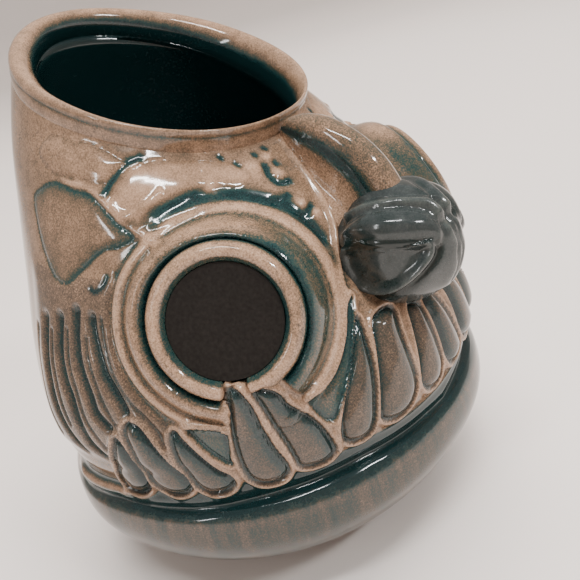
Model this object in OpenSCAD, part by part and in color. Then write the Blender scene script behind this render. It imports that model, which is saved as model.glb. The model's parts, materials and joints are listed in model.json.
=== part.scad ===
// A squat glazed ceramic tiki mug in the shape of an anglerfish head.
// The face looks towards -Y, +Z is up, and the origin is under the middle of the foot.
// Each part is one piece of clay: a hollow cup, rolled coils, rings and modelled sprigs
// that are luted onto it. Lengths are in millimetres and angles in degrees.

/* [Cup] */
// Thickness of the cup's wall
wall_t = 5.5; // [4:0.5:6.5]
// Thickness of the cup's floor above the foot
floor_t = 6; // [4:1:9]
// Height of the rolled rim above the last ring of the cup
rim_rise = 6.2; // [3:0.1:8]
// Radius of the flat foot that the mug stands on
foot_r = 34; // [26:1:36]
// Height of the foot
foot_h = 2.4; // [1.5:0.1:2.4]

/* [Jaw and lip] */
// How far the lower jaw's roll stands out of the cup behind it
jaw_t = 6; // [4:0.5:7]
// How far the scalloped upper lip stands out
lip_t = 2.2; // [1:0.1:3.5]
// Depth of the scallops between the teeth
scallop = 1.4; // [0:0.1:2]

/* [Teeth] */
// How far a tooth stands out of the cup
tooth_t = 2.6; // [1.5:0.1:3.5]
// How far the flat panels between teeth and eyes stand out
panel_t = 1.4; // [0.8:0.1:2]

/* [Eyes] */
// Radius of the matte disc in the middle of an eye
pupil_r = 11.5; // [9:0.5:12]
// Outer radius of the inner ring round the disc
ring_r = 15.6; // [14:0.1:15.8]
// Outer radius of the wide ring
roll_r = 20; // [18:0.1:20.2]
// Outer radius of the eye's outer rim
eye_r = 23; // [21.5:0.5:24]
// How far the disc lies below the inner ring's crest
pupil_sink = 1.8; // [0.5:0.1:3]

/* [Lure] */
// Radius of the bulb on the end of the lure's stalk
bulb_r = 13.9; // [11:0.1:14.5]
// Half the thickness of the stalk's rounded ridge
stalk_w = 3.8; // [2.5:0.1:5]

/* [Fins and gills] */
// How far the fins and the gill covers stand out
fin_t = 1.8; // [1:0.1:3]
// Height of each gill ridge above the gill cover
gill_rise = 1.2; // [0.4:0.1:2]

/* [Hidden] */

// Colours of the glaze where it breaks thin, pools and is wiped away
tan_glaze = [0.66, 0.57, 0.50];
mauve_glaze = [0.50, 0.42, 0.37];
teal_glaze = [0.10, 0.19, 0.20];
slate_glaze = [0.27, 0.31, 0.31];
bare_clay = [0.13, 0.11, 0.10];

// The head's rings from the foot to the rim. Each row is the height of the ring's middle,
// its shift along Y, its reach to the side, to the front and to the back, and the slope
// that tips it towards the face.
RINGS = [
    [2.5, 0, 34, 34, 31, 0],
    [8, 0, 45.5, 46, 42, 0],
    [15, 0, 54, 54.5, 48, 0],
    [23, 0, 58.5, 60, 51, 0],
    [30.5, 0, 58.5, 60, 51, 0],
    [36, 0, 55.5, 57.5, 49, 0],
    [43, 0, 57, 59, 50.5, 0],
    [54, 0, 57.5, 57.5, 52, 0],
    [66, 0, 54.5, 53, 52, 0.03],
    [78, 1, 49.5, 48, 49.5, 0.08],
    [92, 2, 44, 44, 45.5, 0.18],
    [104, 3.5, 39, 38.5, 40.5, 0.30],
    [115, 5, 33, 33, 34, 0.47]];
last = len(RINGS) - 1;
// Squareness of a ring: 2 is an ellipse
roundness = 2.15;
// How much the sides draw in towards the back
back_taper = 0.2;
// Gap left under every luted piece
seam = 0.12;
// Facets round the head
around = 72;

// Smooth curve through the rings
function ring(v) = let(
    t = min(max(v, 0), last - 0.000001),
    i = floor(t),
    f = t - i,
    p0 = RINGS[max(i - 1, 0)],
    p1 = RINGS[i],
    p2 = RINGS[i + 1],
    p3 = RINGS[min(i + 2, last)])
    0.5 * (2 * p1 + (p2 - p0) * f + (2 * p0 - 5 * p1 + 4 * p2 - p3) * f * f
        + (3 * p1 - p0 - 3 * p2 + p3) * f * f * f);

// A point of the head's skin: angle a from the face, ring number v
function skin(a, v) = let(
    s = ring(v),
    reach = cos(a) > 0 ? s[3] : s[4],
    r = pow(pow(abs(sin(a)) / s[2], roundness) + pow(abs(cos(a)) / reach, roundness),
        -1 / roundness),
    dy = -r * cos(a),
    back = max(0, dy / s[4]))
    [r * sin(a) * (1 - back_taper * back * back), s[1] + dy, s[0] + s[5] * dy];
function unit(p) = p / norm(p);
function outward(a, v) = unit(cross(
    skin(a + 1, v) - skin(a - 1, v),
    skin(a, min(v + 0.05, last)) - skin(a, max(v - 0.05, 0))));
function lift(a, v, h) = skin(a, v) + h * outward(a, v);
// Ring number at height z on the sides of the head
LEVELS = [for (i = [0:last]) [RINGS[i][0], i]];
function level(z) = lookup(z, LEVELS);
// Degrees round the head for a length w in millimetres at ring v
function turn(w, v) = w * 57.3 / ring(v)[2];
function flip(p, side) = [side * p[0], p[1], p[2]];
function ease(t) = let(c = min(max(t, 0), 1)) c * c * (3 - 2 * c);

// Faces listed the other way round, so that they look outwards
function turned(faces) = [for (f = faces) [f[2], f[1], f[0]]];

// A closed solid of stacked rings of points, capped at both ends. Each ring runs
// clockwise seen from above when the stack goes up.
module stack_solid(rings) {
    n = len(rings[0]);
    m = len(rings);
    points = [for (r = rings) each r];
    sides = [for (j = [0:m - 2], i = [0:n - 1]) let(k = (i + 1) % n)
        each [[j * n + i, (j + 1) * n + i, (j + 1) * n + k], [j * n + i, (j + 1) * n + k, j * n + k]]];
    low = [for (i = [1:n - 2]) [0, i, i + 1]];
    high = [for (i = [1:n - 2]) [(m - 1) * n, (m - 1) * n + i + 1, (m - 1) * n + i]];
    polyhedron(points, turned(concat(sides, low, high)), convexity = 6);
}

// A closed ring: loops[i] is one cross-section, and the last joins the first
module loop_solid(loops) {
    m = len(loops);
    n = len(loops[0]);
    points = [for (r = loops) each r];
    faces = [for (j = [0:m - 1], i = [0:n - 1]) let(q = (j + 1) % m, k = (i + 1) % n)
        each [[j * n + i, q * n + i, q * n + k], [j * n + i, q * n + k, j * n + k]]];
    polyhedron(points, turned(faces), convexity = 6);
}

// A closed plate between two grids of points of the same size. The rows of the top grid
// run round the head and its columns run up it.
module plate_solid(top, base) {
    m = len(top);
    n = len(top[0]);
    t = m * n;
    points = concat([for (r = top) each r], [for (r = base) each r]);
    faces = concat(
        [for (j = [0:m - 2], i = [0:n - 2]) let(a = j * n + i)
            each [[a, a + n, a + n + 1], [a, a + n + 1, a + 1]]],
        [for (j = [0:m - 2], i = [0:n - 2]) let(a = t + j * n + i)
            each [[a, a + n + 1, a + n], [a, a + 1, a + n + 1]]],
        [for (i = [0:n - 2]) each [[i, i + 1, t + i + 1], [i, t + i + 1, t + i]]],
        [for (i = [0:n - 2]) let(a = (m - 1) * n + i)
            each [[a, t + a + 1, a + 1], [a, t + a, t + a + 1]]],
        [for (j = [0:m - 2]) let(a = j * n)
            each [[a, t + a, t + a + n], [a, t + a + n, a + n]]],
        [for (j = [0:m - 2]) let(a = j * n + n - 1)
            each [[a, t + a + n, t + a], [a, a + n, t + a + n]]]);
    polyhedron(points, turned(faces), convexity = 6);
}

// A piece of the head under one region of its skin, used to trim what is luted there.
// It reaches inwards until depth times the distance to the head's upright middle line.
module skin_block(side, a0, a1, z0, z1, steps, depth) {
    v0 = level(z0);
    v1 = level(z1);
    top = [for (i = [0:steps]) let(a = a0 + (a1 - a0) * i / steps)
        [for (j = [0:steps]) flip(lift(a, v0 + (v1 - v0) * j / steps, seam), side)]];
    base = [for (i = [0:steps]) let(a = a0 + (a1 - a0) * i / steps)
        [for (j = [0:steps]) let(p = lift(a, v0 + (v1 - v0) * j / steps, seam))
            flip([p[0] * depth, p[1] * depth, p[2]], side)]];
    if (side < 0) plate_solid(base, top);
    else plate_solid(top, base);
}

// How far the cup's own wall lies under the skin where the jaw is rolled on
function tuck(v) = jaw_t * ease((5.1 - v) / 0.7) * ease(v / 0.9);
cup_rows = [0, 0.5, 1, 1.6, 2.3, 3, 3.7, 4.3, 4.6, 4.9, 5.2, 5.6, 6, 6.6, 7.2, 8, 8.8, 9.6,
    10.3, 11, 11.5, 12];
jaw_rows = [0.5, 1, 1.6, 2.3, 3, 3.7, 4.3, 4.6, 4.9];

module cup_wall() {
    color(teal_glaze)
    difference() {
        stack_solid([for (v = cup_rows)
            [for (i = [0:around - 1]) let(a = -i * 360 / around) lift(a, v, -tuck(v))]]);
        stack_solid(concat(
            [[for (i = [0:around / 2 - 1]) let(a = -i * 720 / around, p = skin(a, 2.3))
                [p[0] * 0.62, p[1] * 0.62, RINGS[0][0] + floor_t]]],
            [for (v = [2.3, 3, 4, 5, 6, 7, 8, 9, 10, 11, 12])
                [for (i = [0:around / 2 - 1]) let(a = -i * 720 / around,
                    in = wall_t + jaw_t * ease((5.6 - v) / 1.4))
                    lift(a, v, -in)]],
            [[for (i = [0:around / 2 - 1]) let(a = -i * 720 / around)
                lift(a, 12, -wall_t) + [0, 0, 8]]]));
    }
}

module foot_pad() {
    color(bare_clay)
    cylinder(h = foot_h, r = foot_r - 4, $fn = 96);
}

module rim_coil() {
    color(tan_glaze)
    loop_solid([for (i = [0:around - 1]) let(
        a = -i * 360 / around,
        out = lift(a, last, 0),
        mid = lift(a, last, -wall_t / 2),
        in = lift(a, last, -wall_t),
        axis = unit([0, -RINGS[last][5], 1]),
        low = axis * seam)
        [out + low, out + axis * rim_rise * 0.45, out * 0.8 + mid * 0.2 + axis * rim_rise * 0.8,
            mid + axis * rim_rise, in * 0.8 + mid * 0.2 + axis * rim_rise * 0.85,
            in + axis * rim_rise * 0.5, in + low]]);
}

module lower_jaw() {
    color(mauve_glaze)
    loop_solid([for (i = [0:around - 1]) let(a = -i * 360 / around)
        concat(
            [for (v = jaw_rows) lift(a, v, 0)],
            [for (j = [len(jaw_rows) - 1:-1:0]) let(v = jaw_rows[j])
                lift(a, v, -max(tuck(v) - seam, 0.5))])]);
}

// Height of the scalloped edge of the upper lip round the head
function lip_z(a) = 40.3 + scallop * cos(a * 34);
module upper_lip() {
    color(tan_glaze)
    loop_solid([for (i = [0:179]) let(a = -i * 2, z = lip_z(a))
        [lift(a, level(z - 2.6), seam), lift(a, level(z - 2.2), lip_t * 0.6),
            lift(a, level(z - 0.6), lip_t), lift(a, level(z + 1), lip_t * 0.6),
            lift(a, level(z + 1.6), seam)]]);
}

// A tooth: a long rounded pad that leans from its root at (a0, z0) to its tip at (a1, z1)
module tooth(side, a0, z0, a1, z1, w0, w1, h) {
    rows = 8;
    cols = 4;
    function along(t) = [a0 + (a1 - a0) * t, z0 + (z1 - z0) * t];
    function half(t) = (w0 + (w1 - w0) * t) / 2 * (0.45 + 0.55 * pow(max(sin(180 * t), 0), 0.5));
    function spot(t, s) = let(p = along(t), v = level(p[1])) [p[0] + turn(s * half(t), v), v];
    function dome(t, s) = h * (0.35 + 0.65 * (1 - s * s) * pow(sin(180 * min(max(t, 0.06), 0.94)), 0.4));
    top = [for (j = [0:cols]) let(s = -1 + 2 * j / cols)
        [for (i = [0:rows]) let(t = 1 - i / rows, q = spot(t, s))
            flip(lift(q[0], q[1], dome(t, s)), side)]];
    base = [for (j = [0:cols]) let(s = -1 + 2 * j / cols)
        [for (i = [0:rows]) let(t = 1 - i / rows, q = spot(t, s))
            flip(lift(q[0], q[1], seam), side)]];
    color(mauve_glaze)
    if (side > 0) plate_solid(top, base);
    else plate_solid(base, top);
}

// The teeth of one side from the corner of the mouth to the middle of the face. Each row
// is root angle and height, tip angle and height, and the widths of the root and the tip.
TEETH = [
    [77, 52.5, 79, 43.2, 7, 8],
    [71, 55.5, 68.5, 43.2, 7.5, 9],
    [62, 55, 58.5, 43.2, 7, 8.6],
    [49.5, 52, 48, 43.2, 7.5, 8.8],
    [40, 52.5, 38.5, 43.2, 8, 9.2],
    [22.5, 60, 27.5, 43.2, 7.5, 9.4],
    [12, 61, 16, 43.2, 8, 9.6],
    [3.5, 58, 4.8, 43.2, 5.8, 7.6]];
module tooth_at(n, side) {
    t = TEETH[n - 1];
    tooth(side, t[0], t[1], t[2], t[3], t[4], t[5], tooth_t);
}
module tooth_1_left() { tooth_at(1, -1); }
module tooth_1_right() { tooth_at(1, 1); }
module tooth_2_left() { tooth_at(2, -1); }
module tooth_2_right() { tooth_at(2, 1); }
module tooth_3_left() { tooth_at(3, -1); }
module tooth_3_right() { tooth_at(3, 1); }
module tooth_4_left() { tooth_at(4, -1); }
module tooth_4_right() { tooth_at(4, 1); }
module tooth_5_left() { tooth_at(5, -1); }
module tooth_5_right() { tooth_at(5, 1); }
module tooth_6_left() { tooth_at(6, -1); }
module tooth_6_right() { tooth_at(6, 1); }
module tooth_7_left() { tooth_at(7, -1); }
module tooth_7_right() { tooth_at(7, 1); }
module tooth_8_left() { tooth_at(8, -1); }
module tooth_8_right() { tooth_at(8, 1); }

// A thin panel with four corners, each [angle, height], taken anticlockwise from low left
module panel(side, c, h, rows, cols, bump) {
    function spot(s, t) = let(
        low = c[0] * (1 - s) + c[1] * s,
        high = c[3] * (1 - s) + c[2] * s,
        p = low * (1 - t) + high * t)
        [p[0], level(p[1])];
    function swell(s, t) = seam + 0.4 + h * pow(sin(180 * min(max(s, 0.04), 0.96))
        * sin(180 * min(max(t, 0.04), 0.96)), 0.5);
    top = [for (j = [0:cols]) [for (i = [0:rows]) let(s = j / cols, t = i / rows, q = spot(s, t))
        flip(lift(q[0], q[1], swell(s, t) + (bump == 1 ? gill_rise * pow(sin(900 * s), 2)
            : bump == 2 ? 1.1 * pow(abs(sin(360 * s) * sin(540 * t)), 2) : 0)), side)]];
    base = [for (j = [0:cols]) [for (i = [0:rows]) let(s = j / cols, t = i / rows, q = spot(s, t))
        flip(lift(q[0], q[1], seam), side)]];
    if (side > 0) plate_solid(top, base);
    else plate_solid(base, top);
}

module cheek_panel(side) {
    color(teal_glaze)
    panel(side, [[53, 45], [53.6, 45], [57, 54], [54.2, 54]], panel_t * 0.6, 4, 3, 0);
}
module cheek_panel_left() { cheek_panel(-1); }
module cheek_panel_right() { cheek_panel(1); }

module snout_panel(side) {
    color(teal_glaze)
    panel(side, [[32.8, 46], [33.6, 46], [35, 54.5], [28.6, 58]], panel_t, 5, 4, 0);
}
module snout_panel_left() { snout_panel(-1); }
module snout_panel_right() { snout_panel(1); }

module gill_cover(side) {
    color(tan_glaze)
    panel(side, [[82.5, 46], [104, 47], [106, 78], [81, 76]], 0.7, 10, 20, 1);
}
module gill_cover_left() { gill_cover(-1); }
module gill_cover_right() { gill_cover(1); }

module fin_upper(side) {
    color(mauve_glaze)
    panel(side, [[84, 95], [112, 96], [108, 107], [80, 103]], fin_t, 6, 8, 0);
}
module fin_upper_left() { fin_upper(-1); }
module fin_upper_right() { fin_upper(1); }

module fin_lower(side) {
    color(mauve_glaze)
    panel(side, [[86, 81], [116, 80], [112, 93], [78, 92]], fin_t, 7, 8, 0);
}
module fin_lower_left() { fin_lower(-1); }
module fin_lower_right() { fin_lower(1); }

module forehead(side) {
    color(tan_glaze)
    panel(side, [[20, 100.5], [46, 101], [40, 109], [22, 110]], 0.5, 9, 10, 2);
}
module forehead_left() { forehead(-1); }
module forehead_right() { forehead(1); }

module dorsal_fin() {
    rows = 16;
    function half(t) = 2 + 3.2 * sin(180 * t);
    function spot(t, s) = let(v = 6.4 + 4.6 * t) [180 + turn(s * half(t), v), v];
    function rise(t, s) = 0.5 + (2.6 + 0.5 * sin(1440 * t)) * (1 - s * s) * pow(max(sin(180 * t), 0.02), 0.7);
    top = [for (j = [0:4]) let(s = -1 + j / 2) [for (i = [0:rows]) let(t = i / rows, q = spot(t, s))
        lift(q[0], q[1], rise(t, s))]];
    base = [for (j = [0:4]) let(s = -1 + j / 2) [for (i = [0:rows]) let(t = i / rows, q = spot(t, s))
        lift(q[0], q[1], seam)]];
    color(mauve_glaze)
    plate_solid(top, base);
}

// The middle of an eye's inner ring and the way the eye looks, for the right side
EYE = [41.7, -38.3, 75.6];
eye_turn = 52.9;
eye_tip = 20.2;
module at_eye(side) {
    translate([side * EYE[0], EYE[1], EYE[2]])
    rotate([0, 0, side * eye_turn])
    rotate([90 - eye_tip, 0, 0])
    children();
}
module eye_mound(side) {
    color(teal_glaze)
    difference() {
        at_eye(side)
        rotate_extrude($fn = 96)
        polygon([[0, -24], [eye_r + 0.6, -24], [eye_r - 0.2, -9], [eye_r - 0.6, -7.4],
            [roll_r + 0.3, -7.2], [roll_r + 0.2, -6.2], [ring_r + 0.6, -4.4],
            [0, -4.4]]);
        skin_block(side, -4, 104, 32, 114, 22, 0.25);
    }
}
module eye_mound_left() { eye_mound(-1); }
module eye_mound_right() { eye_mound(1); }

module eye_rim(side) {
    color(tan_glaze)
    at_eye(side)
    rotate_extrude($fn = 96)
    polygon([[roll_r + 0.4, -7.1], [eye_r - 0.7, -7.3], [eye_r - 0.1, -6.2], [eye_r - 0.3, -5],
        [eye_r - 1.2, -4.2], [roll_r + 0.7, -4.4]]);
}
module eye_rim_left() { eye_rim(-1); }
module eye_rim_right() { eye_rim(1); }

module eye_roll(side) {
    color(tan_glaze)
    at_eye(side)
    rotate_extrude($fn = 96)
    polygon([[ring_r + 0.7, -4.3], [roll_r + 0.1, -6.1], [roll_r + 0.2, -4.8], [roll_r - 0.4, -3.2],
        [roll_r - 1.6, -1.9], [ring_r + 2.4, -1.2], [ring_r + 1.4, -1.6], [ring_r + 0.8, -2.6]]);
}
module eye_roll_left() { eye_roll(-1); }
module eye_roll_right() { eye_roll(1); }

module eye_ring(side) {
    color(tan_glaze)
    at_eye(side)
    rotate_extrude($fn = 96)
    polygon([[pupil_r + 0.1, -4.3], [ring_r, -4.3], [ring_r + 0.1, -2], [ring_r - 0.4, -0.8],
        [ring_r - 1.4, -0.1], [pupil_r + 1.4, 0], [pupil_r + 0.5, -0.5], [pupil_r + 0.1, -1.2]]);
}
module eye_ring_left() { eye_ring(-1); }
module eye_ring_right() { eye_ring(1); }

module pupil(side) {
    color(bare_clay)
    at_eye(side)
    translate([0, 0, -4.3])
    cylinder(h = 4.3 - pupil_sink, r = pupil_r, $fn = 96);
}
module pupil_left() { pupil(-1); }
module pupil_right() { pupil(1); }

// The crest of the lure's stalk, as [y, z], from the rim to the bulb
CREST = [[-30.5, 102.5], [-35, 103.4], [-41.5, 102], [-48, 98.2], [-53, 93], [-55.5, 89.5]];
BULB = [0, -53.4, 73.9];
// The stalk ends on a sphere a little larger than the bulb
module lure_stalk() {
    n = len(CREST) - 1;
    function foot_v(t) = 11.9 - 2.7 * t;
    function half(t) = 4.4 + 5.5 * t;
    function sect(j) = let(
        t = j / n,
        v = foot_v(t),
        top = [0, CREST[j][0], CREST[j][1]],
        w = half(t),
        a = turn(w, v),
        f = skin(0, v),
        up = top - f,
        lo = lift(a, v, 0.6))
        [lift(a, v, seam), lo,
            f + up * 0.42 + [w * 0.5 + stalk_w * 0.5, 0, 0],
            f + up * 0.66 + [stalk_w * 0.95, 0, 0],
            f + up * 0.88 + [stalk_w * 0.85, 0, 0],
            top,
            f + up * 0.88 - [stalk_w * 0.85, 0, 0],
            f + up * 0.66 - [stalk_w * 0.95, 0, 0],
            f + up * 0.42 - [w * 0.5 + stalk_w * 0.5, 0, 0],
            flip(lo, -1), flip(lift(a, v, seam), -1),
            flip(lift(a / 2, v, seam), -1), lift(0, v, seam), lift(a / 2, v, seam)];
    color(mauve_glaze)
    difference() {
        stack_solid([for (j = [0:n]) let(s = sect(j)) [for (i = [len(s) - 1:-1:0]) s[i]]]);
        translate(BULB) sphere(r = bulb_r + 0.9, $fn = 64);
    }
}

module lure_bulb() {
    color(slate_glaze)
    difference() {
        translate(BULB) sphere(r = bulb_r, $fn = 64);
        skin_block(1, -30, 30, 50, 110, 14, 0.3);
    }
}

// A shell on the bulb between its surface and a slightly larger sphere, kept inside a box
module bulb_shell(t) {
    intersection() {
        difference() {
            translate(BULB) sphere(r = bulb_r + t, $fn = 64);
            translate(BULB) sphere(r = bulb_r + 0.05, $fn = 64);
        }
        children();
    }
}
module lure_lid(side) {
    color(slate_glaze)
    bulb_shell(0.8)
    translate([side > 0 ? 1.2 : -13.2, -72, BULB[2] + 0.8])
    cube([12, 19, 5.2]);
}
module lure_lid_left() { lure_lid(-1); }
module lure_lid_right() { lure_lid(1); }
module lure_lens(side) {
    color(teal_glaze)
    bulb_shell(0.7)
    translate([side > 0 ? 2.2 : -13.2, -72, BULB[2] - 9.2])
    cube([11, 19, 8.8]);
}
module lure_lens_left() { lure_lens(-1); }
module lure_lens_right() { lure_lens(1); }

cup_wall();
foot_pad();
rim_coil();
lower_jaw();
upper_lip();
eye_mound_left();
eye_mound_right();
eye_rim_left();
eye_rim_right();
eye_roll_left();
eye_roll_right();
eye_ring_left();
eye_ring_right();
pupil_left();
pupil_right();
lure_stalk();
lure_bulb();
lure_lid_left();
lure_lid_right();
lure_lens_left();
lure_lens_right();
tooth_1_left();
tooth_1_right();
tooth_2_left();
tooth_2_right();
tooth_3_left();
tooth_3_right();
tooth_4_left();
tooth_4_right();
tooth_5_left();
tooth_5_right();
tooth_6_left();
tooth_6_right();
tooth_7_left();
tooth_7_right();
tooth_8_left();
tooth_8_right();
cheek_panel_left();
cheek_panel_right();
snout_panel_left();
snout_panel_right();
gill_cover_left();
gill_cover_right();
fin_upper_left();
fin_upper_right();
fin_lower_left();
fin_lower_right();
forehead_left();
forehead_right();
dorsal_fin();
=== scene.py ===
# %% [markdown]
# A glazed ceramic tiki mug in the shape of an anglerfish head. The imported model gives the
# frame: the face looks towards -Y, +Z is up and the origin lies under the foot. Every
# piece below is made in that frame, in metres, so nothing has to be moved afterwards.

# %% Load the frame
import bpy
import json
import math
import numpy as np
from mathutils import Matrix, Vector

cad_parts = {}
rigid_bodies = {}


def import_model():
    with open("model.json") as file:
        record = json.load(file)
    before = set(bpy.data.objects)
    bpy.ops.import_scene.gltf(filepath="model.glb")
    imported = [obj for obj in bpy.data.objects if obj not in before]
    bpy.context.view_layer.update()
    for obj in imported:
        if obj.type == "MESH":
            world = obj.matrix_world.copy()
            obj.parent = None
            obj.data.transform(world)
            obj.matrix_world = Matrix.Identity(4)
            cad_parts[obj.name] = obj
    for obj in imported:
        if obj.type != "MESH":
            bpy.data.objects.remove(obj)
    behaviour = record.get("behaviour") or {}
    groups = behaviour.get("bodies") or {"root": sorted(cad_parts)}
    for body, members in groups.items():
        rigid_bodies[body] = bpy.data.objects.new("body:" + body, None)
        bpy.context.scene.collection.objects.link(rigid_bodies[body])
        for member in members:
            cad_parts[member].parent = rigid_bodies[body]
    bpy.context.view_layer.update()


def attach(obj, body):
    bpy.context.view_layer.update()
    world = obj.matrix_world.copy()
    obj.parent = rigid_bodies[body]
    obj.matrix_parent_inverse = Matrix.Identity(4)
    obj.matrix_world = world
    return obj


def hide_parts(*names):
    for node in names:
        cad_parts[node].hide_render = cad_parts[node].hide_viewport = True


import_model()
MM = 0.001
SCENE = bpy.context.scene

# %% [markdown]
# The camera looks down at the mug from its right front, close enough for the rings round
# the mouth to read as ovals. A camera's own tilt, its roll, is a turn about its line of
# sight, so it is multiplied on last.

# %% Camera
cam_az, cam_el, cam_roll = math.radians(-47.7), math.radians(24.3), math.radians(-15.0)
cam_target = Vector((6.45, -13.06, 54.88)) * MM
cam_back = Vector((math.sin(cam_az) * math.cos(cam_el), -math.cos(cam_az) * math.cos(cam_el),
                   math.sin(cam_el)))
cam_side = Vector((math.cos(cam_az), math.sin(cam_az), 0))
cam_up = cam_back.cross(cam_side)
right = cam_side * math.cos(cam_roll) + cam_up * math.sin(cam_roll)
up = cam_up * math.cos(cam_roll) - cam_side * math.sin(cam_roll)
cam = bpy.data.objects.new("camera", bpy.data.cameras.new("camera"))
SCENE.collection.objects.link(cam)
cam.matrix_world = Matrix((right, up, cam_back)).transposed().to_4x4()
cam.location = cam_target + cam_back * 0.18413
cam.data.lens, cam.data.sensor_width = 42.1, 36.0
cam.data.clip_start = 0.01
SCENE.camera = cam
print("camera stands", round(cam.location.length * 1000), "mm from the foot")

# %% [markdown]
# The mug stands on a pale, faintly warm table in soft daylight. The table is a big plane
# with hardly any texture. The world gives the even light from all round, one large soft
# panel gives the light from above, and long thin tubes give the crisp lines of light
# that a glossy glaze shows along its ridges.

# %% Table and light
def new_material(name):
    m = bpy.data.materials.new(name)
    m.use_nodes = True
    nt = m.node_tree
    nt.nodes.clear()
    out = nt.nodes.new("ShaderNodeOutputMaterial")
    shader = nt.nodes.new("ShaderNodeBsdfPrincipled")
    nt.links.new(shader.outputs[0], out.inputs[0])
    return m, nt, shader


def add_area(name, place, aim, size, size_y, watts, colour=(1, 1, 1)):
    data = bpy.data.lights.new(name, "AREA")
    data.shape, data.size, data.size_y = "RECTANGLE", size, size_y
    data.energy, data.color = watts, colour
    lamp = bpy.data.objects.new(name, data)
    SCENE.collection.objects.link(lamp)
    lamp.location = Vector(place)
    lamp.rotation_mode = "QUATERNION"
    lamp.rotation_quaternion = (Vector(place) - Vector(aim)).to_track_quat("Z", "Y")
    return lamp


table_mat, nt, table_shader = new_material("table_top")
noise = nt.nodes.new("ShaderNodeTexNoise")
noise.inputs["Scale"].default_value = 9.0
ramp = nt.nodes.new("ShaderNodeValToRGB")
ramp.color_ramp.elements[0].color = (0.76, 0.695, 0.655, 1)
ramp.color_ramp.elements[1].color = (0.83, 0.765, 0.725, 1)
nt.links.new(noise.outputs["Fac"], ramp.inputs[0])
nt.links.new(ramp.outputs[0], table_shader.inputs["Base Color"])
table_shader.inputs["Roughness"].default_value = 0.45
sweep = [(0.3, 0.0), (0.8, 0.0), (1.4, 0.0), (2.0, 0.03), (2.5, 0.18), (2.8, 0.5), (2.9, 1.0), (2.9, 2.2)]
spin = np.radians(np.arange(0, 360, 5))
table_points = [(r * math.cos(t), r * math.sin(t), z) for r, z in sweep for t in spin]
table_faces = [tuple(range(72))]
for j in range(len(sweep) - 1):
    low_row, high_row = j * 72, (j + 1) * 72
    table_faces += [(low_row + i, high_row + i, high_row + (i + 1) % 72,
                     low_row + (i + 1) % 72) for i in range(72)]
table = bpy.data.objects.new("table_top", bpy.data.meshes.new("table_top"))
table.data.from_pydata(table_points, [], table_faces)
table.data.shade_smooth()
table.data.materials.append(table_mat)
SCENE.collection.objects.link(table)

world = bpy.data.worlds.new("daylight")
SCENE.world = world
world.use_nodes = True
world.node_tree.nodes["Background"].inputs[0].default_value = (1.0, 0.955, 0.92, 1)
world.node_tree.nodes["Background"].inputs[1].default_value = 0.42
aim = (0, 0, 0.06)
soft_sky = add_area("soft_sky", (0.55, 0.05, 1.5), aim, 1.8, 1.8, 62.0, (1.0, 0.955, 0.92))
soft_sky.visible_glossy = False
add_area("window_above", (-0.36, -0.26, 1.05), aim, 0.5, 0.03, 6.5)
add_area("window_right", (0.02, -0.82, 0.80), aim, 0.26, 0.04, 5.5)
add_area("window_left", (-0.95, 0.12, 0.62), aim, 0.05, 0.4, 1.8)

# %% [markdown]
# The head follows a rule: a stack of rings, each a squared-off oval that reaches further
# to the front than to the back, joined by a smooth curve. numpy works out all its points
# at once. Any point of the skin is named by two numbers, the angle round the head from
# the middle of the face and the height of its ring, like longitude and latitude.

# %% The head's rings
RINGS = np.array([
    [2.5, 0, 34, 34, 31, 0],
    [8, 0, 45.5, 46, 42, 0],
    [15, 0, 54, 54.5, 48, 0],
    [23, 0, 58.5, 60, 51, 0],
    [30.5, 0, 58.5, 60, 51, 0],
    [36, 0, 55.5, 57.5, 49, 0],
    [43, 0, 57, 59, 50.5, 0],
    [54, 0, 57.5, 57.5, 52, 0],
    [66, 0, 54.5, 53, 52, 0.03],
    [78, 1, 49.5, 48, 49.5, 0.08],
    [92, 2, 44, 44, 45.5, 0.18],
    [104, 3.5, 39, 38.5, 40.5, 0.30],
    [115, 5, 33, 33, 34, 0.47]], float)
ROUNDNESS = 2.15
BACK_TAPER = 0.2


def ring_at(v):
    last = len(RINGS) - 1
    t = np.clip(v, 0, last - 1e-6)
    i = t.astype(int)
    f = (t - i)[..., None]
    p0, p1 = RINGS[np.maximum(i - 1, 0)], RINGS[i]
    p2, p3 = RINGS[i + 1], RINGS[np.minimum(i + 2, last)]
    curve = (2 * p0 - 5 * p1 + 4 * p2 - p3) * f * f + (3 * p1 - p0 - 3 * p2 + p3) * f ** 3
    return 0.5 * (2 * p1 + (p2 - p0) * f + curve)


def skin(angle, height):
    v = np.interp(height, RINGS[:, 0], np.arange(len(RINGS)))
    a, v = np.broadcast_arrays(np.radians(np.asarray(angle, float)), v)
    s = ring_at(v)
    sa, ca = np.sin(a), np.cos(a)
    reach = np.where(ca > 0, s[..., 3], s[..., 4])
    square = (np.abs(sa) / s[..., 2]) ** ROUNDNESS + (np.abs(ca) / reach) ** ROUNDNESS
    r = square ** (-1 / ROUNDNESS)
    dy = -r * ca
    back = np.maximum(0, dy / s[..., 4])
    x = r * sa * (1 - BACK_TAPER * back * back)
    return np.stack([x, s[..., 1] + dy, s[..., 0] + s[..., 5] * dy], -1)


print("widest ring in mm:", RINGS[:, 2].max() * 2)

# %% [markdown]
# Each eye is a cone-shaped mound that pushes the skin out towards where the eye looks.
# Its profile is the row of rolled rings: a groove, a wide band, a thin seam and a rim.
# The skin only moves along the eye's own line of sight, and a smooth maximum of the two
# heights leaves a soft fillet where the mound runs out into the head. Low down towards
# the nose two teeth run up over the rings, so there the profile is a plain slope.

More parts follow.
